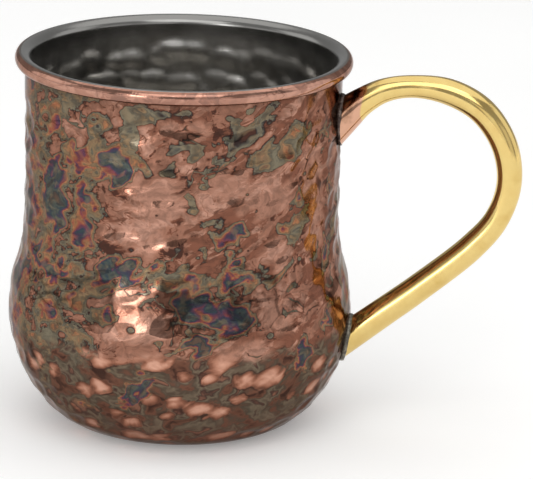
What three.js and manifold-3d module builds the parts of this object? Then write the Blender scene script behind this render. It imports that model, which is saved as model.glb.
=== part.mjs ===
// Copper mug with a bulging belly, a rolled rim, a metal liner and a soldered brass handle.
// Millimetres, +Z up. The origin is the centre of the flat base and the handle points along +X.
import * as THREE from 'three';
import { mergeVertices } from 'three/addons/utils/BufferGeometryUtils.js';
import Module from 'manifold-3d';

// Overall size
const HEIGHT = 100.2;
const RIM_RADIUS = 44.5;
const BEAD_HEIGHT = 3.75;

// Sheet metal
const SHELL_THICKNESS = 0.8;
const LINER_THICKNESS = 0.6;
const GAP = 0.3;

// Outside of the wall: a flat base, a rounded turn-under to the belly, then a slope up to a straight neck.
// Each pull is how far that end holds its curve to the direction it starts in.
const BASE_RADIUS = 24;
const BASE_PULL = 13.6;
const BELLY_RADIUS = 45.75;
const BELLY_HEIGHT = 29;
const BELLY_PULL_BELOW = 11;
const BELLY_PULL_ABOVE = 16.2;
const NECK_RADIUS = 41.85;
const NECK_HEIGHT = 60.5;
const NECK_PULL = 20.8;

// The rolled rim: how far each roll is closed, measured from straight out and up over the top
const CURL_END = THREE.MathUtils.degToRad(-106);
const LIP_END = THREE.MathUtils.degToRad(70);

// Brass handle: a round bar in the XZ plane, given as x, z and bar radius from the neck down to the belly
const HANDLE_STATIONS = [
  [41.0, 83.3, 4.8],
  [43.4, 85.8, 4.5],
  [47.2, 89.1, 3.75],
  [53.0, 92.5, 3.2],
  [60.5, 94.0, 3.0],
  [70.2, 93.0, 3.5],
  [78.9, 88.4, 3.6],
  [85.0, 79.6, 3.5],
  [86.7, 69.4, 3.35],
  [83.8, 59.4, 3.35],
  [77.6, 51.4, 3.6],
  [63.8, 39.2, 3.75],
  [53.3, 30.8, 3.9],
  [42.0, 21.8, 4.1],
];

// Solder joints: pads on the wall that fill the space behind each end of the handle
const SOLDER_THICKNESS = 1.2;
const SOLDER_SPREAD = 1.12;
const UPPER_JOINT = { height: 84.7, halfHeight: 6.7, halfWidth: 5.1 };
const LOWER_JOINT = { height: 25.5, halfHeight: 6.1, halfWidth: 4.7 };

// Facets
const ROUND_SEGMENTS = 48;
const TURN_UNDER_STEPS = 9;
const SHOULDER_STEPS = 7;
const ROLL_STEPS = 10;
const BAR_CURVE_SEGMENTS = 10;
const BAR_STEPS = 44;

const COPPER = new THREE.MeshStandardMaterial({ color: 0xa8705a, roughness: 0.28, metalness: 1 });
const LINER_METAL = new THREE.MeshStandardMaterial({ color: 0x8f8d88, roughness: 0.38, metalness: 1 });
const BRASS = new THREE.MeshStandardMaterial({ color: 0xc9a95b, roughness: 0.2, metalness: 1 });
const DARK_SOLDER = new THREE.MeshStandardMaterial({ color: 0x2f2825, roughness: 0.6, metalness: 0.6 });
const GREY_SOLDER = new THREE.MeshStandardMaterial({ color: 0x77756f, roughness: 0.45, metalness: 0.9 });

const wasm = await Module();
wasm.setup();

function toManifold(geometry) {
  const bare = geometry.clone();
  bare.deleteAttribute('normal');
  bare.deleteAttribute('uv');
  const merged = mergeVertices(bare);
  return new wasm.Manifold(new wasm.Mesh({
    numProp: 3,
    vertProperties: merged.attributes.position.array,
    triVerts: new Uint32Array(merged.index.array),
  }));
}

function toGeometry(manifold) {
  const mesh = manifold.getMesh();
  const geometry = new THREE.BufferGeometry();
  geometry.setAttribute('position', new THREE.BufferAttribute(mesh.vertProperties, mesh.numProp));
  geometry.setIndex(new THREE.BufferAttribute(mesh.triVerts, 1));
  geometry.computeVertexNormals();
  return geometry;
}

// Points of the wall from the axis up to the start of the rolled rim, moved inwards by inset
function wallContour(inset, top) {
  const baseCorner = new THREE.Vector2(BASE_RADIUS, 0);
  const belly = new THREE.Vector2(BELLY_RADIUS, BELLY_HEIGHT);
  const neck = new THREE.Vector2(NECK_RADIUS, NECK_HEIGHT);
  const turnUnder = new THREE.CubicBezierCurve(
    baseCorner,
    new THREE.Vector2(BASE_RADIUS + BASE_PULL, 0),
    new THREE.Vector2(BELLY_RADIUS, BELLY_HEIGHT - BELLY_PULL_BELOW),
    belly,
  );
  const shoulder = new THREE.CubicBezierCurve(
    belly,
    new THREE.Vector2(BELLY_RADIUS, BELLY_HEIGHT + BELLY_PULL_ABOVE),
    new THREE.Vector2(NECK_RADIUS, NECK_HEIGHT - NECK_PULL),
    neck,
  );
  const points = [new THREE.Vector2(0, inset)];
  const addInset = (curve, first, steps) => {
    for (let i = first; i <= steps; i += 1) {
      const point = curve.getPoint(i / steps);
      const tangent = curve.getTangent(i / steps);
      points.push(new THREE.Vector2(point.x - tangent.y * inset, point.y + tangent.x * inset));
    }
  };
  addInset(turnUnder, 0, TURN_UNDER_STEPS);
  addInset(shoulder, 1, SHOULDER_STEPS);
  points.push(new THREE.Vector2(NECK_RADIUS - inset, top));
  return points;
}

// Part of an ellipse in the rim's section, from the wall over the top to the angle end
function rollArc(centre, halfWidth, halfHeight, end) {
  const points = [];
  for (let i = 1; i <= ROLL_STEPS; i += 1) {
    const angle = Math.PI + (end - Math.PI) * (i / ROLL_STEPS);
    points.push(new THREE.Vector2(
      centre.x + halfWidth * Math.cos(angle),
      centre.y + halfHeight * Math.sin(angle),
    ));
  }
  return points;
}

function revolve(profile) {
  const geometry = new THREE.LatheGeometry(profile, ROUND_SEGMENTS);
  geometry.rotateX(Math.PI / 2);
  return geometry;
}

// A sheet that follows the wall and then rolls outwards over the rim
function rolledSheet(inset, thickness, roll, end) {
  const outside = wallContour(inset, roll.centre.y);
  const inside = wallContour(inset + thickness, roll.centre.y);
  const underRoll = rollArc(roll.centre, roll.halfWidth, roll.halfHeight, end);
  const overRoll = rollArc(roll.centre, roll.halfWidth + thickness, roll.halfHeight + thickness, end);
  return revolve([...outside, ...underRoll, ...overRoll.reverse(), ...inside.reverse()]);
}

// A solid bar bent along the handle's line, as thick as its stations say
function handleBar() {
  const line = new THREE.CatmullRomCurve3(
    HANDLE_STATIONS.map(([x, z, radius]) => new THREE.Vector3(x, radius, z)),
    false,
    'centripetal',
  );
  const section = new THREE.Shape();
  section.absarc(0, 0, 1, 0, 2 * Math.PI);
  const bar = new THREE.ExtrudeGeometry(section, {
    depth: 1,
    steps: BAR_STEPS,
    curveSegments: BAR_CURVE_SEGMENTS,
    bevelEnabled: false,
  });
  const position = bar.attributes.position;
  for (let i = 0; i < position.count; i += 1) {
    const along = THREE.MathUtils.clamp(position.getZ(i), 0, 1);
    const station = line.getPoint(along);
    const direction = line.getTangent(along).setY(0).normalize();
    const radius = station.y;
    const inPlane = position.getX(i) * radius;
    const across = position.getY(i) * radius;
    position.setXYZ(i, station.x + direction.z * inPlane, across, station.z - direction.x * inPlane);
  }
  return toManifold(bar);
}

// The mug's outside as one solid body, grown by clearance, that cuts whatever meets the wall
function wallSolid(clearance) {
  return toManifold(revolve([...wallContour(-clearance, HEIGHT), new THREE.Vector2(0, HEIGHT)]));
}

// A pad of solder on the wall with an oval outline, widest where it touches the wall
function solderPad(joint) {
  const reach = 2 * RIM_RADIUS;
  const oval = new THREE.CylinderGeometry(1 / SOLDER_SPREAD, SOLDER_SPREAD, reach, ROUND_SEGMENTS);
  oval.rotateZ(-Math.PI / 2);
  oval.scale(1, joint.halfHeight, joint.halfWidth);
  oval.rotateX(Math.PI / 2);
  oval.translate(reach / 2, 0, joint.height);
  return toManifold(oval).intersect(wallSolid(GAP + SOLDER_THICKNESS)).subtract(wallSolid(GAP));
}

const mug = new THREE.Group();

function add(name, geometry, material) {
  const mesh = new THREE.Mesh(geometry, material);
  mesh.name = name;
  mug.add(mesh);
}

// The copper sheet rolls into an open curl, and the liner's lip lies over the top of that curl
const curlHalfWidth = (RIM_RADIUS - (NECK_RADIUS - SHELL_THICKNESS)) / 2;
const curlTop = HEIGHT - LINER_THICKNESS - GAP;
const curlHalfHeight = (curlTop - (HEIGHT - BEAD_HEIGHT)) / 2;
const rollCentre = new THREE.Vector2(RIM_RADIUS - curlHalfWidth, curlTop - curlHalfHeight);
const curl = {
  centre: rollCentre,
  halfWidth: curlHalfWidth - SHELL_THICKNESS,
  halfHeight: curlHalfHeight - SHELL_THICKNESS,
};
const lip = {
  centre: rollCentre,
  halfWidth: curlHalfWidth + GAP,
  halfHeight: curlHalfHeight + GAP,
};
add('copper_shell', rolledSheet(0, SHELL_THICKNESS, curl, CURL_END), COPPER);
add('inner_liner', rolledSheet(SHELL_THICKNESS + GAP, LINER_THICKNESS, lip, LIP_END), LINER_METAL);

const handle = handleBar().subtract(wallSolid(GAP + SOLDER_THICKNESS + GAP));
add('handle', toGeometry(handle), BRASS);

add('solder_joint_upper', toGeometry(solderPad(UPPER_JOINT)), DARK_SOLDER);
add('solder_joint_lower', toGeometry(solderPad(LOWER_JOINT)), GREY_SOLDER);

export default mug;
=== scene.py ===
import math

import bpy
import numpy as np
from mathutils import Matrix, Vector


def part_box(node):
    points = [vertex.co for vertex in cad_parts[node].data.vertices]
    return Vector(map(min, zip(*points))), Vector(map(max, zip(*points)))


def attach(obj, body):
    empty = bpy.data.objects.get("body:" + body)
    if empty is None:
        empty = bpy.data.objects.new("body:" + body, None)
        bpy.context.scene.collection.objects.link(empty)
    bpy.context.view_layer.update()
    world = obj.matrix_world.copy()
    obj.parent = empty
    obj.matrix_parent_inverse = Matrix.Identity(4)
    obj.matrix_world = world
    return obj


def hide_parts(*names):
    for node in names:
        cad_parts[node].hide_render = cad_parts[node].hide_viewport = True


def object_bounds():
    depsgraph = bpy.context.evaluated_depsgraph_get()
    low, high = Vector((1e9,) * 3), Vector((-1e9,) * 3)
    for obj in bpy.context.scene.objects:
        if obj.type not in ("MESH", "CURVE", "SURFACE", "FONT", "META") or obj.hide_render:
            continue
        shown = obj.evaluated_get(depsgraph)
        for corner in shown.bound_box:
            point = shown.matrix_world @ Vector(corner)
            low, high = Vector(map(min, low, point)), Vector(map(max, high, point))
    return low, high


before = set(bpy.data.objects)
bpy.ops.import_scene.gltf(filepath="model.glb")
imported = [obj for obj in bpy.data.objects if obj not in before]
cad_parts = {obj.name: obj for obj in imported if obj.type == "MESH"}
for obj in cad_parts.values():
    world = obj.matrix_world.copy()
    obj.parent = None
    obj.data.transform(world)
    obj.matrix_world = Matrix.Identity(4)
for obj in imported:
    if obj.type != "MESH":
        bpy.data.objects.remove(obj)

# Lengths below are millimetres, as in the frame's own design. Meshes are scaled to metres when made.
MM = 0.001

cad_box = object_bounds()
_, SHELL_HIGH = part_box("copper_shell")
LINER_LOW, LINER_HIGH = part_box("inner_liner")
HEIGHT = LINER_HIGH.z / MM
BELLY_RADIUS = SHELL_HIGH.y / MM
INSET_LINER_OUTSIDE = LINER_LOW.z / MM

# The wall's outline, as the frame draws it
BASE_RADIUS = 24.0
BASE_PULL = 13.6
BELLY_HEIGHT = 29.0
BELLY_PULL_BELOW = 11.0
BELLY_PULL_ABOVE = 16.2
NECK_RADIUS = 41.85
NECK_HEIGHT = 60.5
NECK_PULL = 20.8
SHELL_THICKNESS = 0.8
LINER_THICKNESS = 0.6

# The rolled bead of the rim, and the liner's lip over it
RIM_RADIUS = 44.5
BEAD_HALF_WIDTH = 1.5
BEAD_HALF_HEIGHT = 1.875
BEAD_START = -140.0
LIP_HALF_WIDTH = 2.625
LIP_HALF_HEIGHT = 2.325

# How finely the outline is worked out, and the place in it where the flat base ends
BASE_POINTS = 120
CURVE_POINTS = 240
NECK_POINTS = 200
BASE_END = BASE_POINTS - 1

# Points round each sheet, and rings of points along each stretch of it
SHELL_COLUMNS = 384
SHELL_BASE_RINGS = 15
SHELL_WALL_RINGS = 172
SHELL_BACK_RINGS = 16
BEAD_RINGS = 26
LINER_COLUMNS = 288
LINER_WALL_RINGS = 128
LINER_FLOOR_RINGS = 14
LINER_BACK_RINGS = 14
LIP_RINGS = 22

# How far from the axis the innermost ring of each surface is
SHELL_INNERMOST = 1.5
BACK_INNERMOST = 6.0
LINER_INNERMOST = 2.0

# Where the unseen faces between the two sheets turn: depths below the rim's top and a gap between the edges
BACK_DROP = 3.0
BEAD_EDGE_DROPS = (0.9, 2.2)
LIP_EDGE_DROPS = (2.0, 0.6, 0.0)
LIP_EDGE_GAP = 0.05

# Hammer marks: how far apart rows and marks are, how far they stray, and the oval's shape. BARE_SHARE of
# them are rubbed bare where the brown film lies, with a painted highlight towards their middles.
MARK_ROW_PITCH = 4.7
MARK_SPACING = 6.3
MARK_ROW_SWAY = 1.6
MARK_STRAY = 1.6
MARK_WIDENING = 1.32
MARK_FLATTENING = 0.86
MARK_LOWEST = 3.0
BARE_SHARE = 0.46
MARK_HIGHEST = 92.5

# Brass bar, as the frame draws it: x, z and bar radius from the neck down to the belly. Most of these
# stations began as a script's measurements of the photo, rounded and then adjusted.
HANDLE_STATIONS = [
    (41.0, 83.3, 4.8),
    (43.4, 85.8, 4.5),
    (47.2, 89.1, 3.75),
    (53.0, 92.5, 3.2),
    (60.5, 94.0, 3.0),
    (70.2, 93.0, 3.5),
    (78.9, 88.4, 3.6),
    (85.0, 79.6, 3.5),
    (86.7, 69.4, 3.35),
    (83.8, 59.4, 3.35),
    (77.6, 51.4, 3.6),
    (63.8, 39.2, 3.75),
    (53.3, 30.8, 3.9),
    (42.0, 21.8, 4.1),
]

# Points round the bar, rings along it, points along its line, steps its ends run on, and gap to the wall
BAR_SIDES = 64
BAR_STEPS = 220
BAR_LINE_POINTS = 900
BAR_RUN_ON = 160
BAR_CLEARANCE = 0.35

# Solder beads: waves round each bead, points round its section and how far its middle sits towards the wall
SOLDER_SWELLS = (2, 3, 5, 8, 11, 15)
SOLDER_STEPS = 20
SOLDER_SINK = 0.25

# Stains on the copper: angle round the mug in degrees from the handle, height, half length,
# half width, tilt in degrees (rising towards larger angles), and how thick the oxide grows at its middle.
# Many angles and heights, here and for the bare places, began as a script's measurements of the photo.
STAINS = [
    (-137, 88.5, 7.0, 6.0, 0, 0.6),
    (-166, 80, 8.0, 4.0, 90, 0.62),
    (-160, 60, 12.0, 4.0, 90, 0.92),
    (-158, 42, 8.0, 5.0, 90, 0.78),
    (-106, 79, 9.0, 6.0, 0, 0.88),
    (-121, 81, 8.0, 6.0, 20, 0.58),
    (-113, 89, 5.0, 3.5, 40, 0.45),
    (-134, 68, 12.0, 7.0, 90, 0.84),
    (-120, 60, 8.0, 5.0, 90, 0.7),
    (-119, 69, 5.0, 4.0, 0, 0.62),
    (-105, 50, 10.0, 5.0, 0, 0.86),
    (-138, 48, 10.0, 5.5, 0, 0.84),
    (-94, 93, 9.0, 2.4, 0, 0.43),
    (-101, 87, 2.6, 4.5, 0, 0.42),
    (-57, 89, 11.0, 4.2, 35, 0.46),
    (-43, 83, 12.0, 4.8, 20, 0.46),
    (-79, 85, 7.0, 1.7, 0, 0.33),
    (-64, 61.5, 5.4, 4.4, 0, 0.92),
    (-62, 54.5, 3.2, 3.0, 0, 1.0),
    (-52, 66, 2.0, 1.6, 0, 0.6),
    (-46, 74, 2.2, 1.5, 30, 0.5),
    (-40, 46, 2.4, 2.0, 0, 0.62),
    (-56, 70, 1.6, 2.2, 0, 0.7),
    (-71, 65, 2.6, 1.2, 20, 0.5),
    (-74, 57, 1.6, 1.3, 0, 0.5),
    (-51, 59, 2.0, 2.6, 20, 0.5),
    (-34, 71, 1.6, 2.8, 0, 0.5),
    (-66, 80, 2.8, 2.4, 0, 0.74),
    (-87, 78, 2.6, 2.0, 0, 0.5),
    (-93, 53, 3.0, 1.6, 20, 0.6),
    (-77, 72, 4.5, 2.6, 60, 0.56),
    (-38, 61, 8.0, 4.2, 35, 0.5),
    (-36, 68, 2.4, 3.4, 0, 0.8),
    (-92, 61.5, 2.2, 1.8, 0, 0.42),
    (-104, 60, 3.0, 2.6, 0, 0.45),
    (-84, 50, 9.0, 3.2, 0, 0.8),
    (-62, 49.5, 9.0, 3.0, 0, 0.82),
    (-77, 43, 7.0, 5.0, 0, 0.9),
    (-65, 39.5, 9.0, 5.5, 0, 0.85),
    (-107, 40, 4.0, 3.0, 0, 0.86),
    (-78, 34, 10.0, 4.0, 0, 0.94),
    (-122, 42, 6.0, 4.0, 0, 0.62),
    (-132, 38, 7.0, 5.0, 0, 0.66),
    (-45, 49, 5.0, 2.5, 20, 0.4),
    (-24, 34, 5.0, 3.0, 80, 0.98),
    (-36, 27, 6.0, 4.0, 60, 0.97),
    (-96, 20, 11.0, 3.2, 45, 0.92),
    (-20, 84, 4.0, 1.6, 60, 0.95),
    (-14, 68, 5.0, 1.8, 90, 0.95),
    (-18, 52, 5.0, 1.8, 80, 0.95),
]

# Places where the copper stays bare: angle, height, half length, half width, tilt
BARE_PLACES = [
    (-123, 87, 4.0, 3.6, 0),
    (-91, 70, 8.0, 7.0, 0),
    (-96, 61, 7.0, 5.0, 0),
    (-66, 74, 9.0, 5.0, 10),
    (-82, 90, 7.0, 2.6, 0),
    (-50, 71, 9.0, 6.0, 0),
    (-45, 55, 6.0, 4.0, 0),
    (-97, 44, 6.0, 3.6, -10),
    (-92, 36.5, 8.0, 4.0, 0),
    (-46, 39, 7.0, 5.0, 0),
    (-59, 31, 9.0, 3.5, 0),
    (-28, 75, 5.0, 9.0, 0),
    (-24, 60, 4.0, 8.0, 0),
    (-14, 40, 3.0, 9.0, 0),
]


def link(thing):
    bpy.context.scene.collection.objects.link(thing)


# ---------------- geometry

def bezier(first, second, third, fourth):
    t = np.linspace(0.0, 1.0, CURVE_POINTS)[:, None]
    near = (1 - t) ** 3 * np.array(first) + 3 * (1 - t) ** 2 * t * np.array(second)
    return near + 3 * (1 - t) * t ** 2 * np.array(third) + t ** 3 * np.array(fourth)


def fine_outline():
    """The outside of the wall from the axis to the rim as many (radius, height) points."""
    corner = (BASE_RADIUS, 0.0)
    belly = (BELLY_RADIUS, BELLY_HEIGHT)
    neck = (NECK_RADIUS, NECK_HEIGHT)
    below_belly = (BELLY_RADIUS, BELLY_HEIGHT - BELLY_PULL_BELOW)
    above_belly = (BELLY_RADIUS, BELLY_HEIGHT + BELLY_PULL_ABOVE)
    below_neck = (NECK_RADIUS, NECK_HEIGHT - NECK_PULL)
    base = np.linspace((0.0, 0.0), corner, BASE_POINTS)
    under = bezier(corner, (BASE_RADIUS + BASE_PULL, 0.0), below_belly, belly)
    shoulder = bezier(belly, above_belly, below_neck, neck)
    straight = np.linspace(neck, (NECK_RADIUS, HEIGHT), NECK_POINTS)
    return np.vstack([base, under[1:], shoulder[1:], straight[1:]])


OUTLINE = fine_outline()
OUTLINE_ARC = np.concatenate([[0.0], np.cumsum(np.hypot(*np.diff(OUTLINE, axis=0).T))])
OUTLINE_TANGENT = np.gradient(OUTLINE, OUTLINE_ARC, axis=0)


def wall_at(arc):
    """Radius, height and outward normal of the wall at distances along it from the axis."""
    radius = np.interp(arc, OUTLINE_ARC, OUTLINE[:, 0])
    height = height_at_arc(arc)
    along_r = np.interp(arc, OUTLINE_ARC, OUTLINE_TANGENT[:, 0])
    along_z = np.interp(arc, OUTLINE_ARC, OUTLINE_TANGENT[:, 1])
    size = np.hypot(along_r, along_z)
    return radius, height, along_z / size, -along_r / size


def arc_at_height(height):
    return np.interp(height, OUTLINE[BASE_END:, 1], OUTLINE_ARC[BASE_END:])


def height_at_arc(arc):
    return np.interp(arc, OUTLINE_ARC, OUTLINE[:, 1])


def smoothstep(value, low, high):
    t = np.clip((value - low) / (high - low), 0.0, 1.0)
    return t * t * (3 - 2 * t)


def ring_mesh(name, rings, start=None, end=None, wrap=False):
    """A closed mesh from rings of points, closed by a tip at each end or joined end to end."""
    count, around, _ = rings.shape
    index = np.arange(count * around).reshape(count, around)
    if wrap:
        index = np.vstack([index, index[:1]])
    low, high = index[:-1], index[1:]
    faces = np.stack([low, np.roll(low, -1, 1), np.roll(high, -1, 1), high], axis=-1).reshape(-1, 4).tolist()
    points = rings.reshape(-1, 3)
    if start is not None:
        tip = len(points)
        points = np.vstack([points, start])
        faces += [(tip, (i + 1) % around, i) for i in range(around)]
    if end is not None:
        tip = len(points)
        points = np.vstack([points, end])
        last = (count - 1) * around
        faces += [(last + i, last + (i + 1) % around, tip) for i in range(around)]
    mesh = bpy.data.meshes.new(name)
    mesh.from_pydata((points * MM).tolist(), [], faces)
    mesh.polygons.foreach_set("use_smooth", [True] * len(mesh.polygons))
    mesh.update()
    piece = bpy.data.objects.new(name, mesh)
    link(piece)
    return piece


def set_field(piece, name, values):
    """Stores one number per vertex, with zero on the tips that close the mesh."""
    attribute = piece.data.attributes.new(name, "FLOAT", "POINT")
    filled = np.zeros(len(piece.data.vertices), np.float32)
    flat = np.asarray(values, np.float32).ravel()
    filled[:len(flat)] = flat
    attribute.data.foreach_set("value", filled)


def hammer_marks():
    """Every hammer mark as arc, angle, radius, depth, a random number of its own and tilt."""
    chance = np.random.default_rng(11)
    marks = []
    arc = arc_at_height(MARK_LOWEST)
    highest = arc_at_height(MARK_HIGHEST)
    while arc < highest:
        radius = wall_at(arc)[0]
        count = int(round(2 * math.pi * radius / MARK_SPACING))
        turn = chance.uniform(0, 2 * math.pi)
        for i in range(count):
            angle = turn + 2 * math.pi * (i + chance.uniform(-0.3, 0.3)) / count
            place = arc + chance.uniform(-MARK_STRAY, MARK_STRAY)
            place += MARK_ROW_SWAY * math.sin(2 * angle + 3 * turn)
            size = chance.uniform(2.8, 4.1)
            depth = chance.uniform(0.24, 0.5)
            number = chance.uniform()
            tilt = chance.uniform(-0.1, 0.5)
            marks.append((place, angle % (2 * math.pi), size, depth, number, tilt))
        arc += MARK_ROW_PITCH * chance.uniform(0.92, 1.08)
    return marks


MARKS = hammer_marks()


def over_marks(arc, radius, angles):
    """Yields each mark with the slice of the grid that it reaches and the distances there."""
    columns = len(angles)
    pitch = 2 * math.pi / columns
    for place, angle, size, depth, number, tilt in MARKS:
        reach = size * MARK_WIDENING * 1.15
        rows = np.nonzero(np.abs(arc - place) < reach)[0]
        if len(rows) == 0:
            continue
        spread = int(reach / (radius[rows].min() * pitch)) + 1
        middle = int(round(angle / pitch))
        picked = np.arange(middle - spread, middle + spread + 1)
        across = (picked * pitch - angle)[None, :] * radius[rows][:, None]
        along = (arc[rows] - place)[:, None]
        first = (across * math.cos(tilt) + along * math.sin(tilt)) / MARK_WIDENING
        second = (along * math.cos(tilt) - across * math.sin(tilt)) / MARK_FLATTENING
        yield np.ix_(rows, picked % columns), np.hypot(first, second), size, depth, number


def dent_depth(arc, radius, angles):
    """How deep the hammer has pushed the wall in, on a grid of arc by angle. Marks meet in soft ridges."""
    softness = 0.012
    total = np.ones((len(arc), len(angles)))
    for cells, distance, size, depth, _ in over_marks(arc, radius, angles):
        total[cells] += np.exp(depth * (1 - (distance / size) ** 2) / softness)
    height = height_at_arc(arc)
    strength = 1.1 - 0.25 * smoothstep(height, 14, 34) + 0.4 * smoothstep(height, 50, 60)
    fade = smoothstep(height, 1.2, 5) * (1 - smoothstep(height, 91.5, 94.5))
    return softness * np.log(total) * (strength * fade)[:, None]


def slow_wobble(arc, angles):
    """A handmade body is never quite round: a few long shallow waves."""
    chance = np.random.default_rng(5)
    wave = np.zeros((len(arc), len(angles)))
    for turns in (2, 3, 4, 5, 7, 9):
        phase = chance.uniform(0, 2 * math.pi)
        drift = chance.uniform(0, 2 * math.pi)
        rise = chance.uniform(0.03, 0.12)
        size = 0.11 / math.sqrt(turns)
        wave += size * np.sin(turns * angles[None, :] + phase) * np.sin(rise * arc[:, None] + drift)
    height = height_at_arc(arc)
    return wave * (smoothstep(height, 1.2, 8) * (1 - smoothstep(height, 90, 96)))[:, None]


def round_angles(columns):
    return np.arange(columns) * 2 * math.pi / columns


def each_column(values, columns):
    """One number for each point of each ring, from a number for each ring or for each point."""
    values = np.asarray(values)
    if values.ndim == 1:
        values = values[:, None]
    return np.broadcast_to(values, (len(values), columns))


def turned(radius, height, columns):
    """Rings of points from a radius and a height for each ring, or for each point."""
    angles = round_angles(columns)
    radius = each_column(radius, columns)
    height = each_column(height, columns)
    return np.stack([radius * np.cos(angles), radius * np.sin(angles), height], axis=-1)


def moved_wall(radius, height, out_r, out_z, move):
    """Rings of points along the wall, each point moved outwards by its own distance."""
    moved_radius = radius[:, None] + out_r[:, None] * move
    moved_height = height[:, None] + out_z[:, None] * move
    return turned(moved_radius, moved_height, move.shape[1])


def hidden_face(inset, steps):
    """The unseen side of a sheet, from below the rim down to the base's middle, as radii and heights."""
    arc = np.linspace(arc_at_height(HEIGHT - BACK_DROP), BACK_INNERMOST, steps)
    radius, height, out_r, out_z = wall_at(arc)
    return radius - out_r * inset, height - out_z * inset


def ellipse_arc(centre, half_sizes, ends, steps):
    """Radii and heights along part of an ellipse in the rim's section, between two angles in degrees."""
    angle = np.radians(np.linspace(*ends, steps))
    return centre[0] + half_sizes[0] * np.cos(angle), centre[1] + half_sizes[1] * np.sin(angle)


def ragged_grid(arc, angles):
    """Angles and distances along the wall, pushed about by short waves so that patches get ragged edges."""
    chance = np.random.default_rng(31)
    turn = np.broadcast_to(angles[None, :], (len(arc), len(angles)))
    along = np.broadcast_to(arc[:, None], turn.shape)
    shift_turn, shift_along = np.zeros(turn.shape), np.zeros(turn.shape)
    for _ in range(14):
        turns, rise = chance.integers(12, 48), chance.uniform(0.3, 1.1)
        phase = chance.uniform(0, 2 * math.pi, 2)
        shift_turn += np.sin(turns * turn + rise * along + phase[0])
        shift_along += np.sin(turns * turn - rise * along + phase[1])
    return turn + shift_turn * 0.34 / BELLY_RADIUS, along + shift_along * 0.34


def stain_distance(turn, along, radius, stain):
    """Roughly how far inside an oval patch each grid point is: positive inside, negative outside."""
    angle, height, half_length, half_width, tilt = stain
    turned_by = (turn - math.radians(angle) + math.pi) % (2 * math.pi) - math.pi
    across = turned_by * radius[:, None]
    up = along - arc_at_height(height)
    cos_tilt, sin_tilt = math.cos(math.radians(tilt)), math.sin(math.radians(tilt))
    first = (across * cos_tilt + up * sin_tilt) / half_length
    second = (up * cos_tilt - across * sin_tilt) / half_width
    return (1 - np.hypot(first, second)) * min(half_length, half_width)


def scattered_stains():
    """Stains for the side of the mug away from the listed ones, of much the same sizes."""
    chance = np.random.default_rng(23)
    stains = []
    for _ in range(46):
        angle = chance.uniform(-8, 188)
        tint = chance.choice([0.43, 0.46, 0.56, 0.66, 0.76, 0.86, 0.93])
        half_length = chance.uniform(3.0, 11.0)
        half_width = half_length * chance.uniform(0.3, 0.7)
        height = chance.uniform(30, 94)
        stains.append((angle, height, half_length, half_width, chance.uniform(-20, 60), tint))
    return stains


def oxide_fields(arc, radius, angles):
    """Values at each grid point that the copper's material reads.

    They are the depth inside the oxide in millimetres, the thickness that it grows to, how much brown
    strokes are favoured, where bare islands may break up the stains, and where the copper is cleanest.
    """
    height = height_at_arc(arc)
    degrees = np.degrees((angles + math.pi) % (2 * math.pi) - math.pi)
    shaded = smoothstep(-degrees, 104, 118) * smoothstep(degrees, -190, -180)
    far_left = smoothstep(-degrees, 140, 154) * shaded
    front = smoothstep(degrees, -112, -100) * (1 - smoothstep(degrees, -12, 0))
    upper = smoothstep(height, 30, 36)
    base = -0.5 + 1.0 * shaded[None, :] + 1.2 * far_left[None, :] - 1.6 * front[None, :] * upper[:, None]
    oxide = np.broadcast_to(base, (len(arc), len(angles))).copy()
    weight = np.full(oxide.shape, 0.6)
    tint = weight * (0.58 + 0.3 * far_left[None, :])
    turn, along = ragged_grid(arc, angles)
    for *shape, thickness in STAINS + scattered_stains():
        inside = stain_distance(turn, along, radius, shape)
        oxide = np.maximum(oxide, inside * 1.15)
        pull = np.exp(np.clip(inside, -7, 6) / 1.3)
        weight += pull
        tint += pull * thickness
    polished = np.zeros(oxide.shape)
    for place in BARE_PLACES:
        inside = stain_distance(turn, along, radius, place)
        oxide = np.minimum(oxide, np.maximum(-inside * 1.2, -4.0) + 6 * smoothstep(-inside, 0.0, 4.0))
        polished = np.maximum(polished, smoothstep(inside, -1.5, 2.5))
    strokes = 0.115 * smoothstep(degrees, -96, -70) * (1 - smoothstep(degrees, -14, 4)) - 0.03
    strokes = np.broadcast_to(strokes[None, :], oxide.shape)
    crowded = np.broadcast_to((shaded * (1 - 0.6 * far_left))[None, :], oxide.shape)
    return dict(oxide=oxide, tint=tint / weight, strokes=strokes, crowded=crowded, polished=polished)


def bare_marks(arc, radius, angles):
    """How far inside a bare hammer mark each grid point is. Nearly half the marks are bare."""
    inside = np.full((len(arc), len(angles)), -3.0)
    for cells, distance, size, _, number in over_marks(arc, radius, angles):
        if number < BARE_SHARE:
            inside[cells] = np.maximum(inside[cells], size * (0.38 + 1.4 * number) - distance)
    return inside


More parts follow.
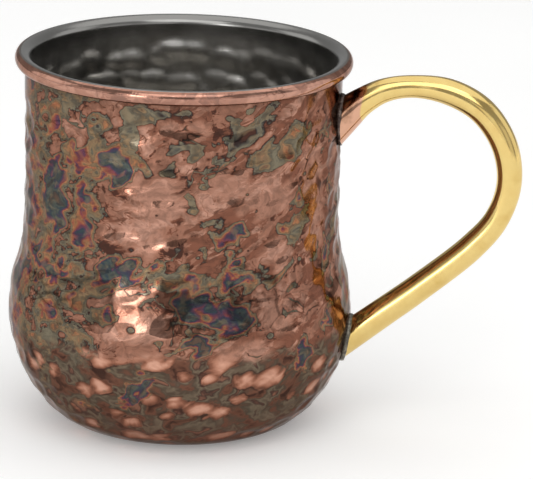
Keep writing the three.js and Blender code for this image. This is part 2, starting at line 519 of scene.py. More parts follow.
def shell_fields(arc, radius, height, angles, wall_top, extra):
    """The copper's fields by name, over the wall's grid and then the extra rings of bead and inner face."""
    def with_rest(values, filling):
        rest = np.broadcast_to(filling, extra)
        return np.concatenate([each_column(values, SHELL_COLUMNS), each_column(rest, SHELL_COLUMNS)])

    oxide = oxide_fields(arc, radius, angles)
    bead_angle = np.linspace(BEAD_START, 90, BEAD_RINGS)
    past_bead = extra - BEAD_RINGS
    under_bead = np.concatenate([1 - smoothstep(bead_angle, -130, -75), np.zeros(past_bead)])
    over_bead = np.concatenate([smoothstep(bead_angle, 58, 84), np.ones(past_bead)])
    fillings = {"oxide": -3.2, "tint": 0.45, "strokes": -0.2, "crowded": 0.0, "polished": 0.0}
    return {
        **{name: with_rest(oxide[name], filling) for name, filling in fillings.items()},
        # Bare hammer marks, which the copper's material also lightens towards their middles as a painted
        # highlight
        "bare": with_rest(bare_marks(arc, radius, angles), -3.0),
        # Low film, partly real oxide and partly painted shade, below the belly
        "film": with_rest(1 - smoothstep(height, 24, 35), 0.0),
        # Painted light, strongest at the bottom and gone 14 mm up
        "foot_painted_light": with_rest(1 - smoothstep(height, 1.0, 14.0), 0.0),
        # Painted shade just below the rim's bead and on the bead's underside
        "under_bead_shade": with_rest(np.exp(-(wall_top - height) / 1.3), under_bead),
        "plated": with_rest(np.zeros(len(arc)), over_bead),
        "bead": with_rest(np.zeros(len(arc)), 1.0),
    }


def make_shell():
    bead_centre_r = RIM_RADIUS - BEAD_HALF_WIDTH
    bead_centre_z = HEIGHT - BEAD_HALF_HEIGHT
    wall_top = bead_centre_z - BEAD_HALF_HEIGHT * math.sin(math.radians(-BEAD_START))
    base_arc = np.linspace(SHELL_INNERMOST, BASE_RADIUS, SHELL_BASE_RINGS, endpoint=False)
    wall_arc = np.linspace(BASE_RADIUS, arc_at_height(wall_top), SHELL_WALL_RINGS)
    arc = np.concatenate([base_arc, wall_arc])
    angles = round_angles(SHELL_COLUMNS)
    radius, height, out_r, out_z = wall_at(arc)
    move = slow_wobble(arc, angles) - dent_depth(arc, radius, angles)
    wall = moved_wall(radius, height, out_r, out_z, move)
    bead_centre = (bead_centre_r, bead_centre_z)
    bead_size = (BEAD_HALF_WIDTH, BEAD_HALF_HEIGHT)
    bead_r, bead_z = ellipse_arc(bead_centre, bead_size, (BEAD_START + 6, 90), BEAD_RINGS)
    edge_r = [bead_centre_r, NECK_RADIUS - SHELL_THICKNESS]
    edge_z = [HEIGHT - drop for drop in BEAD_EDGE_DROPS]
    back_r, back_z = hidden_face(SHELL_THICKNESS, SHELL_BACK_RINGS)
    rest_r = np.concatenate([bead_r, edge_r, back_r])
    rest_z = np.concatenate([bead_z, edge_z, back_z])
    rings = np.concatenate([wall, turned(rest_r, rest_z, SHELL_COLUMNS)])
    shell = ring_mesh("copper_body", rings, start=(0, 0, 0), end=(0, 0, SHELL_THICKNESS))
    for name, values in shell_fields(arc, radius, height, angles, wall_top, len(rest_r)).items():
        set_field(shell, name, values)
    return shell


def make_liner():
    inset_inside = INSET_LINER_OUTSIDE + LINER_THICKNESS
    lip_centre_z = HEIGHT - LIP_HALF_HEIGHT
    lip_centre_r = NECK_RADIUS - inset_inside + LIP_HALF_WIDTH
    back_r, back_z = hidden_face(INSET_LINER_OUTSIDE, LINER_BACK_RINGS)
    lip_edge = RIM_RADIUS - BEAD_HALF_WIDTH - LIP_EDGE_GAP
    edge_r = [NECK_RADIUS - INSET_LINER_OUTSIDE, lip_edge, lip_edge]
    edge_z = [HEIGHT - drop for drop in LIP_EDGE_DROPS]
    lip_size = (LIP_HALF_WIDTH, LIP_HALF_HEIGHT)
    lip_r, lip_z = ellipse_arc((lip_centre_r, lip_centre_z), lip_size, (90, 180), LIP_RINGS)
    wall_arc = np.linspace(arc_at_height(lip_centre_z) - 0.6, BASE_RADIUS, LINER_WALL_RINGS)
    floor_arc = np.linspace(BASE_RADIUS - 1.6, LINER_INNERMOST, LINER_FLOOR_RINGS)
    arc = np.concatenate([wall_arc, floor_arc])
    angles = round_angles(LINER_COLUMNS)
    radius, height, out_r, out_z = wall_at(arc)
    inside = moved_wall(radius, height, out_r, out_z, -inset_inside - dent_depth(arc, radius, angles))
    top_r = np.concatenate([back_r[::-1], edge_r, lip_r])
    top_z = np.concatenate([back_z[::-1], edge_z, lip_z])
    rings = np.concatenate([turned(top_r, top_z, LINER_COLUMNS), inside])
    liner = ring_mesh("liner_inside", rings, start=(0, 0, INSET_LINER_OUTSIDE), end=(0, 0, inset_inside))
    # The lip is coloured darker than the inside: painted shade on the lip, and painted light on the inside
    lip_painted_shade = np.concatenate([np.ones(len(top_r)), 1 - smoothstep(HEIGHT - height, 3.0, 7.0)])
    set_field(liner, "lip_painted_shade", each_column(lip_painted_shade, LINER_COLUMNS))
    return liner


def catmull_rom(stations, steps):
    """Points of a centripetal Catmull-Rom curve through the stations, spaced evenly station to station."""
    points = np.array(stations)
    points = np.vstack([2 * points[0] - points[1], points, 2 * points[-1] - points[-2]])
    out = []
    spans = len(stations) - 1
    for place in np.linspace(0, spans, steps):
        span = min(int(place), spans - 1)
        part = place - span
        p0, p1, p2, p3 = points[span:span + 4]
        d1, d2, d3 = (max(np.linalg.norm(b - a) ** 0.5, 1e-4) for a, b in ((p0, p1), (p1, p2), (p2, p3)))
        t1 = ((p1 - p0) / d1 - (p2 - p0) / (d1 + d2) + (p2 - p1) / d2) * d2
        t2 = ((p2 - p1) / d2 - (p3 - p1) / (d2 + d3) + (p3 - p2) / d3) * d2
        square = -3 * p1 + 3 * p2 - 2 * t1 - t2
        cube = 2 * p1 - 2 * p2 + t1 + t2
        out.append(p1 + t1 * part + square * part ** 2 + cube * part ** 3)
    return np.array(out)


def bar_lines():
    """The bar's surface before it is trimmed: one line of points for each side, from neck to belly."""
    line = catmull_rom(HANDLE_STATIONS, BAR_LINE_POINTS)
    direction = np.gradient(line[:, :2], axis=0)
    direction /= np.linalg.norm(direction, axis=1)[:, None]
    turn = round_angles(BAR_SIDES)
    in_plane = line[:, 2][None, :] * np.cos(turn)[:, None]
    across = line[:, 2][None, :] * np.sin(turn)[:, None]
    x = line[:, 0] + direction[:, 1] * in_plane
    z = line[:, 1] - direction[:, 0] * in_plane
    lines = np.stack([x, across, z], axis=-1)
    # Each line runs on straight past both ends, so that all of them reach the wall
    run = np.arange(1, BAR_RUN_ON + 1)[None, :, None]
    before = lines[:, :1] + (lines[:, :1] - lines[:, 1:2]) * run[:, ::-1]
    after = lines[:, -1:] + (lines[:, -1:] - lines[:, -2:-1]) * run
    return np.concatenate([before, lines, after], axis=1)


def wall_gap(points):
    """How far points stand off the wall, measured across it from the axis."""
    wall = np.interp(points[..., 2], OUTLINE[BASE_END:, 1], OUTLINE[BASE_END:, 0])
    return np.hypot(points[..., 0], points[..., 1]) - wall


def trimmed_bar(clearance):
    """Rings of the bar, each side from where it leaves the wall at the neck to where it meets the belly."""
    lines = bar_lines()
    gap = wall_gap(lines)
    middle = lines.shape[1] // 2
    rings = np.zeros((BAR_STEPS, BAR_SIDES, 3))
    for side in range(BAR_SIDES):
        inside = gap[side] < clearance
        first = np.nonzero(inside[:middle])[0].max()
        last = middle + np.nonzero(inside[middle:])[0].min()
        start = first + (clearance - gap[side, first]) / (gap[side, first + 1] - gap[side, first])
        stop = last - (clearance - gap[side, last]) / (gap[side, last - 1] - gap[side, last])
        place = np.linspace(start, stop, BAR_STEPS)
        for axis in range(3):
            rings[:, side, axis] = np.interp(place, np.arange(lines.shape[1]), lines[side, :, axis])
    return rings


BAR = trimmed_bar(BAR_CLEARANCE)


def make_handle():
    rings = BAR[:, ::-1]
    handle = ring_mesh("brass_handle", rings, start=BAR[0].mean(0), end=BAR[-1].mean(0))
    # The brass is painted pink under the upper joint, a painted reflection of the copper wall, and the torch
    # left it sooty on top of the joint
    steps = np.linalg.norm(np.diff(rings.mean(1), axis=0), axis=1)
    along = np.concatenate([[0.0], np.cumsum(steps)])
    turn = (np.arange(BAR_SIDES)[::-1] + 0.5) * 2 * math.pi / BAR_SIDES
    inner_side = 0.5 + 0.5 * np.cos(turn)
    reach = 3.0 + 7.0 * inner_side
    wall_reflection_pink = 1 - smoothstep((along[:, None] - reach[None, :]) / 3.0, 0.0, 1.0)
    soot = (1 - smoothstep(along, 2.5, 11.0))[:, None] * (1 - inner_side)[None, :]
    set_field(handle, "wall_reflection_pink", wall_reflection_pink)
    set_field(handle, "soot", soot)
    return handle


def solder_bead(name, ring, spread, height, lumps, taper, seed):
    """Solder round one end of the bar, thinner by taper on the side that faces into the handle's loop."""
    chance = np.random.default_rng(seed)
    centre = ring.mean(0)
    phases = chance.uniform(0, 2 * math.pi, len(SOLDER_SWELLS))
    section_angles = round_angles(SOLDER_STEPS)
    sections = []
    for side, point in enumerate(ring):
        turn = side * 2 * math.pi / BAR_SIDES
        wall_normal = np.array([point[0], point[1], 0.0]) / math.hypot(point[0], point[1])
        outward = point - centre
        outward -= wall_normal * outward.dot(wall_normal)
        outward /= np.linalg.norm(outward)
        swell = sum(math.sin(k * turn + phase) for k, phase in zip(SOLDER_SWELLS, phases)) / 3
        size = 1 - taper * (0.5 + 0.5 * math.cos(turn))
        wide = outward * spread * size * (1 + lumps * swell)
        high = wall_normal * (SOLDER_SINK + (height - SOLDER_SINK) * size * (1 + lumps * swell))
        middle = point - wall_normal * SOLDER_SINK
        sections.append([middle + wide * math.cos(a) + high * math.sin(a) for a in section_angles])
    return ring_mesh(name, np.array(sections), wrap=True)


# ---------------- materials

def linear(red, green, blue):
    """A colour given as 0 to 255 screen values, in the shader's linear units."""
    values = [c / 255 for c in (red, green, blue)]
    return tuple(c / 12.92 if c <= 0.04045 else ((c + 0.055) / 1.055) ** 2.4 for c in values) + (1.0,)


class Finish:
    """A material and short names for the nodes that it is built from."""

    def __init__(self, name):
        self.material = bpy.data.materials.new(name)
        self.material.use_nodes = True
        self.tree = self.material.node_tree
        self.shader = self.tree.nodes["Principled BSDF"]

    def node(self, kind, **settings):
        node = self.tree.nodes.new(kind)
        for key, value in settings.items():
            setattr(node, key, value)
        return node

    def feed(self, socket, value):
        if isinstance(value, bpy.types.NodeSocket):
            self.tree.links.new(value, socket)
        else:
            socket.default_value = value

    def set(self, name, value):
        self.feed(self.shader.inputs[name], value)

    def math(self, operation, *values, clamp=False):
        node = self.node("ShaderNodeMath", operation=operation, use_clamp=clamp)
        for socket, value in zip(node.inputs, values):
            self.feed(socket, value)
        return node.outputs[0]

    def plus(self, first, second, **more):
        return self.math("ADD", first, second, **more)

    def minus(self, first, second):
        return self.math("SUBTRACT", first, second)

    def times(self, first, second, **more):
        return self.math("MULTIPLY", first, second, **more)

    def larger(self, first, second):
        return self.math("MAXIMUM", first, second)

    def vector(self, operation, first, second=None, scale=None, output=0):
        node = self.node("ShaderNodeVectorMath", operation=operation)
        self.feed(node.inputs[0], first)
        if second is not None:
            self.feed(node.inputs[1], second)
        if scale is not None:
            self.feed(node.inputs["Scale"], scale)
        return node.outputs[output]

    def upwards(self, height):
        node = self.node("ShaderNodeCombineXYZ")
        self.feed(node.inputs["Z"], height)
        return node.outputs[0]

    def place(self, stretch=(1, 1, 1)):
        """The point on the piece in millimetres, squeezed along each axis by stretch."""
        point = self.node("ShaderNodeTexCoord").outputs["Object"]
        return self.vector("MULTIPLY", point, tuple(s / MM for s in stretch))

    def noise_node(self, point, size, detail=3.0, rough=0.5):
        node = self.node("ShaderNodeTexNoise")
        self.feed(node.inputs["Vector"], point)
        node.inputs["Scale"].default_value = 1 / size
        node.inputs["Detail"].default_value = detail
        node.inputs["Roughness"].default_value = rough
        return node

    def noise(self, point, size, **more):
        return self.noise_node(point, size, **more).outputs["Fac"]

    def signed(self, point, size, amount, **more):
        """Noise about zero that mostly stays within plus or minus amount."""
        return self.times(self.minus(self.noise(point, size, **more), 0.5), amount * 3)

    def pushed(self, point, push, amount):
        return self.vector("ADD", point, self.vector("SCALE", push, scale=amount))

    def swirl(self, point, size):
        """Noise as a vector about zero, to push points about with."""
        colour = self.noise_node(point, size, detail=2.0).outputs["Color"]
        return self.vector("SUBTRACT", colour, (0.5, 0.5, 0.5))

    def spots(self, point, size, which, lowest, smallest, largest):
        """How far inside a round spot a point is. Each cell of noise has a spot of its own size, or none."""
        cells = self.node("ShaderNodeTexVoronoi", feature="F1")
        self.feed(cells.inputs["Vector"], point)
        cells.inputs["Scale"].default_value = 1 / size
        numbers = self.node("ShaderNodeSeparateColor")
        self.feed(numbers.inputs[0], cells.outputs["Color"])
        radius = self.between(numbers.outputs[which], lowest, 1.0, smallest, largest, smooth=False)
        return self.minus(radius, self.times(cells.outputs["Distance"], size))

    def between(self, value, low, high, start=0.0, stop=1.0, smooth=True):
        node = self.node("ShaderNodeMapRange", interpolation_type="SMOOTHSTEP" if smooth else "LINEAR")
        self.feed(node.inputs["Value"], value)
        for name, number in (("From Min", low), ("From Max", high), ("To Min", start), ("To Max", stop)):
            node.inputs[name].default_value = number
        return node.outputs[0]

    def field(self, name):
        return self.node("ShaderNodeAttribute", attribute_name=name).outputs["Fac"]

    def ramp(self, value, stops):
        node = self.node("ShaderNodeValToRGB")
        elements = node.color_ramp.elements
        while len(elements) < len(stops):
            elements.new(1.0)
        for element, (place, colour) in zip(elements, stops):
            element.position = place
            element.color = linear(*colour)
        self.feed(node.inputs["Fac"], value)
        return node.outputs["Color"]

    def mix(self, amount, first, second):
        node = self.node("ShaderNodeMix", data_type="RGBA")
        self.feed(node.inputs[0], amount)
        self.feed(node.inputs[6], first)
        self.feed(node.inputs[7], second)
        return node.outputs[2]

    def bump(self, height, distance, strength):
        node = self.node("ShaderNodeBump")
        node.inputs["Strength"].default_value = strength
        node.inputs["Distance"].default_value = distance * MM
        self.feed(node.inputs["Height"], height)
        self.set("Normal", node.outputs[0])


# How the brown strokes lean: the change in height for a millimetre along x and y
STROKE_LEAN = (-0.48, -0.28, 0.0)

# How thick the oxide is at a stain's edge, on the scale below
RIM_THICKNESS = 0.38

# Colours that copper turns as its oxide film grows thicker, as place on the scale and screen colour
OXIDE_COLOURS = [
    (0.0, (184, 138, 119)),
    (0.08, (160, 114, 95)),
    (0.16, (120, 76, 60)),
    (0.22, (82, 52, 43)),
    (0.27, (50, 40, 40)),
    (0.33, (82, 80, 74)),
    (0.39, (122, 114, 96)),
    (0.45, (94, 88, 76)),
    (0.5, (138, 114, 86)),
    (0.55, (112, 88, 72)),
    (0.59, (164, 114, 80)),
    (0.64, (144, 82, 66)),
    (0.69, (112, 64, 76)),
    (0.75, (70, 62, 80)),
    (0.81, (56, 68, 74)),
    (0.87, (80, 86, 80)),
    (0.93, (62, 64, 64)),
    (1.0, (98, 80, 70)),
]


# Brown and olive film low on the body, partly painted shade, along its noise, and the copper of the marks
# rubbed bare in it, which turns lighter towards their middles as a painted highlight
LOW_FILM_AND_SHADE_COLOURS = [
    (0.34, (60, 42, 36)),
    (0.43, (106, 72, 58)),
    (0.5, (78, 68, 58)),
    (0.57, (110, 98, 82)),
    (0.63, (68, 52, 47)),
    (0.7, (128, 90, 74)),
]
# Rubbed bare copper, its lighter stops a painted highlight towards each mark's middle
RUBBED_AND_HIGHLIGHT_COLOURS = [
    (0.0, (100, 66, 53)),
    (0.25, (142, 95, 76)),
    (0.52, (178, 127, 105)),
    (0.85, (208, 158, 136)),
]
SMUDGE_BROWN = linear(58, 46, 40)
BLOOM_TAN = linear(150, 126, 96)
DOT_BROWN = linear(58, 40, 34)
RUBBED_RIM_BROWN = linear(66, 44, 38)
# Painted light: copper made lighter towards the bottom
FOOT_PAINTED_LIGHT_COPPER = linear(150, 104, 88)
# Painted shade in the crease under the rim's bead
UNDER_BEAD_SHADE_BROWN = linear(52, 40, 34)
STREAK_BROWN = linear(116, 74, 60)
BEAD_COPPER = linear(204, 156, 138)
PLATED_GREY = linear(160, 156, 152)


def oxide_depth(f, point, flow):
    """Depth inside the oxide in millimetres: patches, curling bands and round drops, with bare islands."""
    # The listed patches, made ragged by noise of several sizes
    coarse = f.signed(flow, 7.5, 2.4, detail=4.0, rough=0.55)
    ragged = f.plus(coarse, f.signed(point, 1.5, 0.5, detail=4.0))
    chosen = f.plus(f.field("oxide"), ragged)
    # Curling bands, like runs of a liquid that dried on the metal
    from_run = f.math("ABSOLUTE", f.signed(flow, 10.0, 1.0, detail=2.0))
    run = f.minus(0.85, f.times(from_run, 7.0))
    run_place = f.between(f.noise(point, 16.0, detail=2.0), 0.42, 0.6, -3.0, 0.0)
    off_bead = f.times(f.field("bead"), 1.4)
    run = f.minus(f.plus(run, run_place), f.times(off_bead, 2.0))
    chosen = f.larger(chosen, run)
    drop = f.spots(point, 6.0, 0, 0.4, -0.5, 2.1)
    speck = f.spots(flow, 2.3, 1, 0.7, -0.5, 0.6)
    round_marks = f.minus(f.larger(drop, speck), off_bead)
    depth = f.larger(chosen, f.plus(round_marks, f.signed(point, 0.9, 0.16)))
    # Bare islands inside the stains
    inside_island = f.spots(f.vector("ADD", point, (17.0, 5.0, 9.0)), 7.0, 0, 0.52, -0.6, 2.3)
    island = f.plus(f.times(inside_island, -1.4), f.signed(flow, 1.8, 0.5))
    island = f.plus(island, f.between(f.field("crowded"), 0.0, 1.0, 3.0, 0.0))
    return f.math("MINIMUM", depth, island)


def brown_film(f, point, flow, slanted, depth):
    """Thin brown film on the clean copper: clouds, slanted strokes, halos of stains and curling lines."""
    pale_cloud = f.between(f.noise(flow, 11.0, detail=6.0, rough=0.62), 0.45, 0.53, 0.0, 0.1)
    deep_cloud = f.between(f.noise(flow, 8.0, detail=5.0, rough=0.6), 0.55, 0.585, 0.0, 0.13)
    stroke_noise = f.plus(f.noise(slanted, 3.4, detail=4.0, rough=0.6), f.field("strokes"))
    stroke = f.between(stroke_noise, 0.55, 0.6, 0.0, 0.15)
    cloud = f.larger(f.plus(pale_cloud, deep_cloud), stroke)
    halo = f.between(depth, -1.5, 0.0, 0.0, 0.1)
    from_vein = f.math("ABSOLUTE", f.signed(flow, 6.0, 1.0, detail=3.0))
    vein_place = f.between(f.noise(point, 10.0, detail=1.0), 0.46, 0.58)
    vein = f.times(f.between(from_vein, 0.09, 0.0, 0.0, 0.2), vein_place)
    film = f.larger(f.larger(cloud, halo), vein)
    return f.times(film, f.between(f.field("polished"), 0.0, 1.0, 1.0, 0.4))


def oxide_colour(f, point, flow, slanted, depth, edge):
    """The colour of copper under an oxide film that thickens from each stain's edge to its middle."""
    middle = f.between(depth, 0.25, 2.7, smooth=False)
    streaks = f.signed(flow, 6.5, 0.32, detail=2.0, rough=0.45)
    variety = f.plus(streaks, f.signed(flow, 2.0, 0.05, detail=2.0))
    target = f.plus(f.field("tint"), variety)
    rim = f.times(edge, RIM_THICKNESS)
    grown = f.times(middle, f.minus(target, RIM_THICKNESS))
    film = brown_film(f, point, flow, slanted, depth)
    clean = f.times(film, f.minus(1.0, edge))
    thickness = f.plus(f.plus(rim, grown), clean, clamp=True)
    colour = f.ramp(thickness, OXIDE_COLOURS)
    smudge = f.between(f.noise(flow, 2.6, detail=5.0, rough=0.65), 0.34, 0.62, 0.42, 0.0)
    colour = f.mix(smudge, colour, SMUDGE_BROWN)
    bloom = f.between(f.noise(flow, 3.4, detail=3.0, rough=0.55), 0.48, 0.66, 0.0, 0.3)
    colour = f.mix(f.times(bloom, edge), colour, BLOOM_TAN)
    # Pinholes and splashes, each a small dark dot
    inside_dot = f.spots(f.vector("ADD", point, (3.0, 11.0, 7.0)), 3.4, 1, 0.5, -0.1, 0.48)
    off_bead = f.minus(0.85, f.field("bead"))
    dot = f.times(f.between(inside_dot, -0.05, 0.12), off_bead, clamp=True)
    return f.mix(dot, colour, DOT_BROWN)


def add_low_film(f, colour, point, flow, slanted, depth):
    """The film low on the body, partly painted shade, over everything but the rubbed marks and the thickest
    stains. The rubbed marks carry a painted highlight, and the bottom painted light.
    """
    rub_shape = f.plus(f.field("bare"), f.signed(flow, 5.0, 1.0, detail=1.5, rough=0.45))
    rub_shape = f.plus(rub_shape, f.signed(slanted, 2.6, 1.1, detail=1.5, rough=0.45))
    rubbed_and_highlit = f.between(rub_shape, -0.15, 0.4)
    low = f.between(f.plus(f.field("film"), f.signed(flow, 9.0, 0.42, detail=5.0)), 0.3, 0.75)
    low = f.times(low, f.between(depth, 0.7, 1.5, 1.0, 0.1))
    film = f.times(low, f.minus(1.0, rubbed_and_highlit))
    film_colour = f.ramp(f.noise(flow, 6.5, detail=2.5, rough=0.5), LOW_FILM_AND_SHADE_COLOURS)
    # Painted highlight: the rubbed copper lightens towards each mark's middle
    rub_highlight_depth = f.between(rub_shape, -0.2, 2.4, 0.0, 0.75)
    rub_and_highlight_tone = f.plus(rub_highlight_depth, f.signed(flow, 3.2, 0.26, detail=4.0))
    rub_and_highlight_tone = f.plus(rub_and_highlight_tone, f.signed(point, 7.0, 0.28, detail=1.0))
    colour = f.mix(f.times(low, rubbed_and_highlit), colour, f.ramp(rub_and_highlight_tone, RUBBED_AND_HIGHLIGHT_COLOURS))
    # The low film: partly real oxide and partly painted shade
    colour = f.mix(f.times(film, 0.94), colour, film_colour)
    from_rim = f.math("ABSOLUTE", f.plus(rub_shape, 0.1))
    rub_rim = f.minus(1.0, f.between(from_rim, 0.0, 0.45))
    rub_rim = f.times(rub_rim, f.between(f.noise(point, 3.5, detail=2.0), 0.42, 0.6, 0.0, 0.8))
    colour = f.mix(f.times(rub_rim, low), colour, RUBBED_RIM_BROWN)
    # Painted light towards the bottom of the body
    colour = f.mix(f.times(f.field("foot_painted_light"), 0.2), colour, FOOT_PAINTED_LIGHT_COPPER)
    return colour, film


def add_rim_details(f, colour, point, under_bead_shade):
    """Painted shade where the wall goes under the bead, the cleaner bead, and the plating's edge on it."""
    colour = f.mix(under_bead_shade, colour, UNDER_BEAD_SHADE_BROWN)
    streak_point = f.place(stretch=(0.12, 0.12, 1.6))
    streak = f.between(f.noise(streak_point, 1.0, detail=3.0), 0.6, 0.72, 0.0, 0.6)
    colour = f.mix(f.times(streak, f.field("bead")), colour, STREAK_BROWN)
    colour = f.mix(f.times(f.field("bead"), 0.4), colour, BEAD_COPPER)
    plated = f.between(f.plus(f.field("plated"), f.signed(point, 2.5, 0.14)), 0.4, 0.7)
    return f.mix(plated, colour, PLATED_GREY)


def copper_finish():
    f = Finish("oxidised_copper")
    point = f.place(stretch=(1, 1, 1.3))
    swirl = f.swirl(point, 11.0)
    flow = f.pushed(point, swirl, 12.0)
    flow = f.pushed(flow, f.swirl(flow, 3.6), 3.2)
    slanted = f.pushed(f.place(stretch=(0.3, 0.3, 1.0)), swirl, 5.0)
    lean = f.vector("DOT_PRODUCT", f.place(), STROKE_LEAN, output="Value")
    slanted = f.vector("ADD", slanted, f.upwards(lean))
    depth = oxide_depth(f, point, flow)
    # Some edges are crisp and others fade over a millimetre or more
    softness = f.between(f.noise(point, 9.0, detail=2.0), 0.42, 0.68, 0.6, 1.7)
    edge = f.between(f.math("DIVIDE", depth, softness), 0.0, 1.0)
    colour = oxide_colour(f, point, flow, slanted, depth, edge)
    colour, film = add_low_film(f, colour, point, flow, slanted, depth)
    # Painted shade under the bead, which is also made rougher there
    under_bead_shade = f.times(f.field("under_bead_shade"), f.between(f.noise(point, 2.0), 0.25, 0.6, 0.6, 1.0))
    f.set("Base Color", add_rim_details(f, colour, point, under_bead_shade))
    f.set("Metallic", 1.0)
    f.set("Specular Tint", (0.62, 0.58, 0.56, 1.0))
    smear = f.between(f.noise(flow, 6.0, detail=5.0, rough=0.65), 0.3, 0.75, 0.08, 0.15)
    dull = f.plus(f.times(edge, 0.05), f.times(film, 0.03))
    f.set("Roughness", f.plus(f.plus(smear, dull), f.times(under_bead_shade, 0.3)))
    grain = f.noise(f.place(), 0.35, detail=3.0, rough=0.6)
    pits = f.between(f.noise(f.place(), 1.1, detail=2.0), 0.3, 0.42)
    f.bump(f.plus(f.times(grain, 0.25), pits), 0.02, 0.35)
    return f.material


def liner_finish():
    f = Finish("satin_liner")
    point = f.place()
    cloud = f.noise(point, 6.0, detail=4.0, rough=0.6)
    colour = f.ramp(cloud, [(0.3, (194, 192, 188)), (0.5, (202, 200, 196)), (0.7, (208, 206, 202))])
    tea = f.between(f.noise(point, 14.0, detail=3.0), 0.5, 0.75, 0.0, 0.25)
    colour = f.mix(tea, colour, linear(164, 150, 138))
    # Painted shade: the lip is darker than the inside, and the inside painted lighter
    colour = f.mix(f.field("lip_painted_shade"), colour, linear(142, 141, 138))
    f.set("Base Color", colour)
    f.set("Metallic", 1.0)
    f.set("Roughness", f.between(cloud, 0.3, 0.7, 0.19, 0.26))
    brushed = f.noise(f.place(stretch=(0.15, 0.15, 2.5)), 1.0, detail=3.0)
    f.bump(brushed, 0.012, 0.4)
    return f.material


def brass_finish():
    f = Finish("polished_brass")
    point = f.place()
    cloud = f.noise(point, 9.0, detail=4.0, rough=0.6)
    colour = f.ramp(cloud, [(0.3, (216, 184, 112)), (0.5, (226, 198, 128)), (0.7, (222, 191, 120))])
    spot = f.between(f.spots(point, 2.6, 0, 0.8, -0.3, 0.26), 0.0, 0.1)
    colour = f.mix(f.times(spot, 0.75), colour, linear(120, 84, 40))
    # Painted reflection of the copper wall: pink brass by the upper joint, most on the side facing the wall
    wall_reflection_pink = f.between(f.plus(f.field("wall_reflection_pink"), f.signed(point, 4.0, 0.3)), 0.35, 0.75)
    colour = f.mix(f.times(wall_reflection_pink, 0.85), colour, linear(208, 156, 138))
    soot = f.between(f.plus(f.field("soot"), f.signed(point, 2.5, 0.35, detail=4.0)), 0.2, 0.8)
    colour = f.mix(f.times(soot, 0.8), colour, linear(104, 70, 40))
    f.set("Base Color", colour)
    f.set("Metallic", 1.0)
    f.set("Roughness", f.between(f.noise(point, 3.0, detail=4.0), 0.35, 0.7, 0.1, 0.19))
    scratches = f.noise(f.place(stretch=(0.4, 3.0, 0.4)), 1.0, detail=5.0, rough=0.7)
    f.bump(scratches, 0.015, 0.25)
    return f.material


def solder_finish(name, dark, middle, light, rough):
    f = Finish(name)
    point = f.place()
    blotch = f.noise(point, 1.1, detail=5.0, rough=0.65)
    f.set("Base Color", f.ramp(blotch, [(0.35, dark), (0.5, middle), (0.68, light)]))
    f.set("Metallic", 0.8)
    f.set("Roughness", f.between(blotch, 0.3, 0.7, rough + 0.15, rough - 0.1))
    f.bump(f.noise(point, 0.9, detail=4.0), 0.1, 0.5)
    return f.material


def floor_finish():
    f = Finish("pale_floor")
    tone = f.noise(f.place(), 160.0, detail=2.0)
    f.set("Base Color", f.ramp(tone, [(0.3, (242, 242, 241)), (0.7, (246, 246, 245))]))
    f.set("Roughness", 0.6)
    f.set("Specular IOR Level", 0.1)
    f.set("Emission Color", (1.0, 1.0, 1.0, 1.0))
    # The softboxes light the middle of the floor, so it glows more further out to stay evenly pale
    away = f.vector("LENGTH", f.node("ShaderNodeTexCoord").outputs["Object"], output="Value")
    f.set("Emission Strength", f.between(away, 0.6, 1.8, FLOOR_GLOW, FLOOR_FAR_GLOW))
    return f.material


# ---------------- stage

# Distances here are metres, and the lens is in millimetres. The camera's elevation, roll, lens and aim
# were fitted to the photo's silhouette.
CAMERA_DISTANCE = 1.1
CAMERA_ELEVATION = math.radians(16.34)
CAMERA_AZIMUTH = math.radians(-83)
CAMERA_ROLL = math.radians(1.345)
CAMERA_LENS = 279.0
CAMERA_AIM = Vector((0.0004, 0.0028, -0.0009))
STUDIO_DIM = 0.38
STUDIO_PALE = 1.0
FLOOR_HALF_SIZE = 3.0
FLOOR_DROP = 0.00005
FLOOR_GLOW = 0.22
FLOOR_FAR_GLOW = 0.6
LIGHT_AIM_HEIGHT = 0.05


def camera_axes():
    right = Vector((-math.sin(CAMERA_AZIMUTH), math.cos(CAMERA_AZIMUTH), 0))
    away = Vector((-math.cos(CAMERA_AZIMUTH), -math.sin(CAMERA_AZIMUTH), 0))
    forward = away * math.cos(CAMERA_ELEVATION) - Vector((0, 0, math.sin(CAMERA_ELEVATION)))
    level_up = right.cross(forward)
    rolled = right * math.cos(CAMERA_ROLL) + level_up * math.sin(CAMERA_ROLL)
    up = level_up * math.cos(CAMERA_ROLL) - right * math.sin(CAMERA_ROLL)
    return rolled, up, forward


def add_camera():
    low, high = cad_box
    aim = (Vector(low) + Vector(high)) / 2 + CAMERA_AIM
    right, up, forward = camera_axes()
    data = bpy.data.cameras.new("camera")
    data.lens = CAMERA_LENS
    data.sensor_width = 36
    data.clip_start = 0.05
    camera = bpy.data.objects.new("camera", data)
    spot = aim - forward * CAMERA_DISTANCE
    camera.matrix_world = Matrix((
        (right.x, up.x, -forward.x, spot.x),
        (right.y, up.y, -forward.y, spot.y),
        (right.z, up.z, -forward.z, spot.z),
        (0, 0, 0, 1),
    ))
    link(camera)
    bpy.context.scene.camera = camera


def softbox(name, azimuth, elevation, distance, width, height, brightness):
    """A rectangular light that faces the mug, with the same brightness all over."""
    turn = math.radians(azimuth)
    rise = math.radians(elevation)
    level = math.cos(rise)
    direction = Vector((math.cos(turn) * level, math.sin(turn) * level, math.sin(rise)))
    aim = Vector((0, 0, LIGHT_AIM_HEIGHT))
    spot = direction * distance + aim
    data = bpy.data.lights.new(name, "AREA")
    data.shape = "RECTANGLE"
    data.size = width
    data.size_y = height
    data.energy = brightness * math.pi * width * height
    light = bpy.data.objects.new(name, data)
    light.location = spot
    light.rotation_euler = (aim - spot).to_track_quat("-Z", "Y").to_euler()
    link(light)


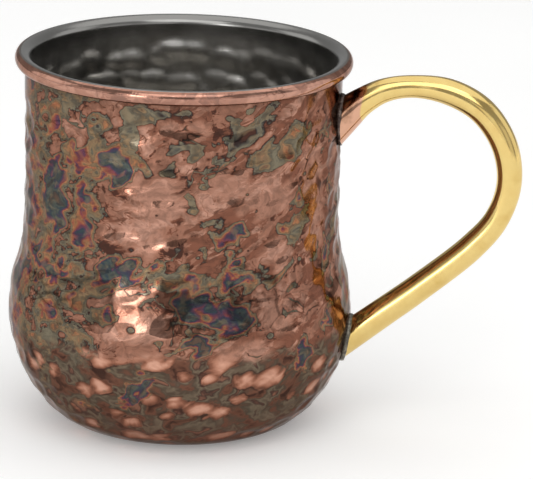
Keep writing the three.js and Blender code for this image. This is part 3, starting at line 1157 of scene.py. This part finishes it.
def add_world():
    """A dim studio round the lights, which the camera itself sees as a pale backdrop."""
    world = bpy.data.worlds.new("studio")
    world.use_nodes = True
    tree = world.node_tree
    dim = tree.nodes["Background"]
    pale = tree.nodes.new("ShaderNodeBackground")
    for background, strength in ((dim, STUDIO_DIM), (pale, STUDIO_PALE)):
        background.inputs["Color"].default_value = (1, 1, 1, 1)
        background.inputs["Strength"].default_value = strength
    seen = tree.nodes.new("ShaderNodeLightPath")
    both = tree.nodes.new("ShaderNodeMixShader")
    tree.links.new(seen.outputs["Is Camera Ray"], both.inputs[0])
    tree.links.new(dim.outputs[0], both.inputs[1])
    tree.links.new(pale.outputs[0], both.inputs[2])
    tree.links.new(both.outputs[0], tree.nodes["World Output"].inputs[0])
    bpy.context.scene.world = world


def add_stage():
    mesh = bpy.data.meshes.new("floor")
    half = FLOOR_HALF_SIZE
    corners = [(-half, -half, 0), (half, -half, 0), (half, half, 0), (-half, half, 0)]
    mesh.from_pydata(corners, [], [(0, 1, 2, 3)])
    floor = bpy.data.objects.new("floor", mesh)
    floor.location.z = cad_box[0][2] - FLOOR_DROP
    floor.data.materials.append(floor_finish())
    link(floor)
    add_world()
    softbox("key_softbox", -112, 12, 1.2, 0.6, 0.75, 1.0)
    softbox("key_heart", -112, 12, 1.19, 0.22, 0.3, 3.8)
    softbox("front_softbox", -62, 9, 1.6, 0.7, 0.5, 0.6)
    softbox("high_softbox", -84, 45, 1.4, 1.3, 0.85, 1.7)
    softbox("belt_left_softbox", -146, 10, 1.4, 0.7, 0.6, 0.4)
    softbox("belt_right_softbox", -28, 10, 1.4, 0.6, 0.5, 0.4)
    softbox("right_softbox", 15, 18, 1.3, 0.9, 0.9, 0.62)
    softbox("left_softbox", 175, 20, 1.3, 0.9, 0.8, 0.75)
    softbox("top_softbox", 60, 80, 1.2, 2.0, 1.6, 0.8)
    bpy.context.scene.view_settings.view_transform = "Standard"


# ---------------- assembly

def finish_piece(piece, nodes, material):
    piece.data.materials.append(material)
    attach(piece, "root")
    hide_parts(*nodes)


add_camera()
add_stage()
finish_piece(make_shell(), ["copper_shell"], copper_finish())
finish_piece(make_liner(), ["inner_liner"], liner_finish())
finish_piece(make_handle(), ["handle"], brass_finish())
black = solder_finish("black_solder", (40, 32, 30), (70, 58, 54), (128, 114, 106), 0.4)
grey = solder_finish("grey_solder", (70, 68, 62), (110, 106, 96), (158, 152, 138), 0.35)
upper = solder_bead("upper_solder", BAR[0], 0.6, 0.85, 0.3, 0.75, 3)
finish_piece(upper, ["solder_joint_upper"], black)
lower = solder_bead("lower_solder", BAR[-1], 0.5, 0.75, 0.15, -0.3, 4)
finish_piece(lower, ["solder_joint_lower"], grey)


bpy.context.view_layer.update()
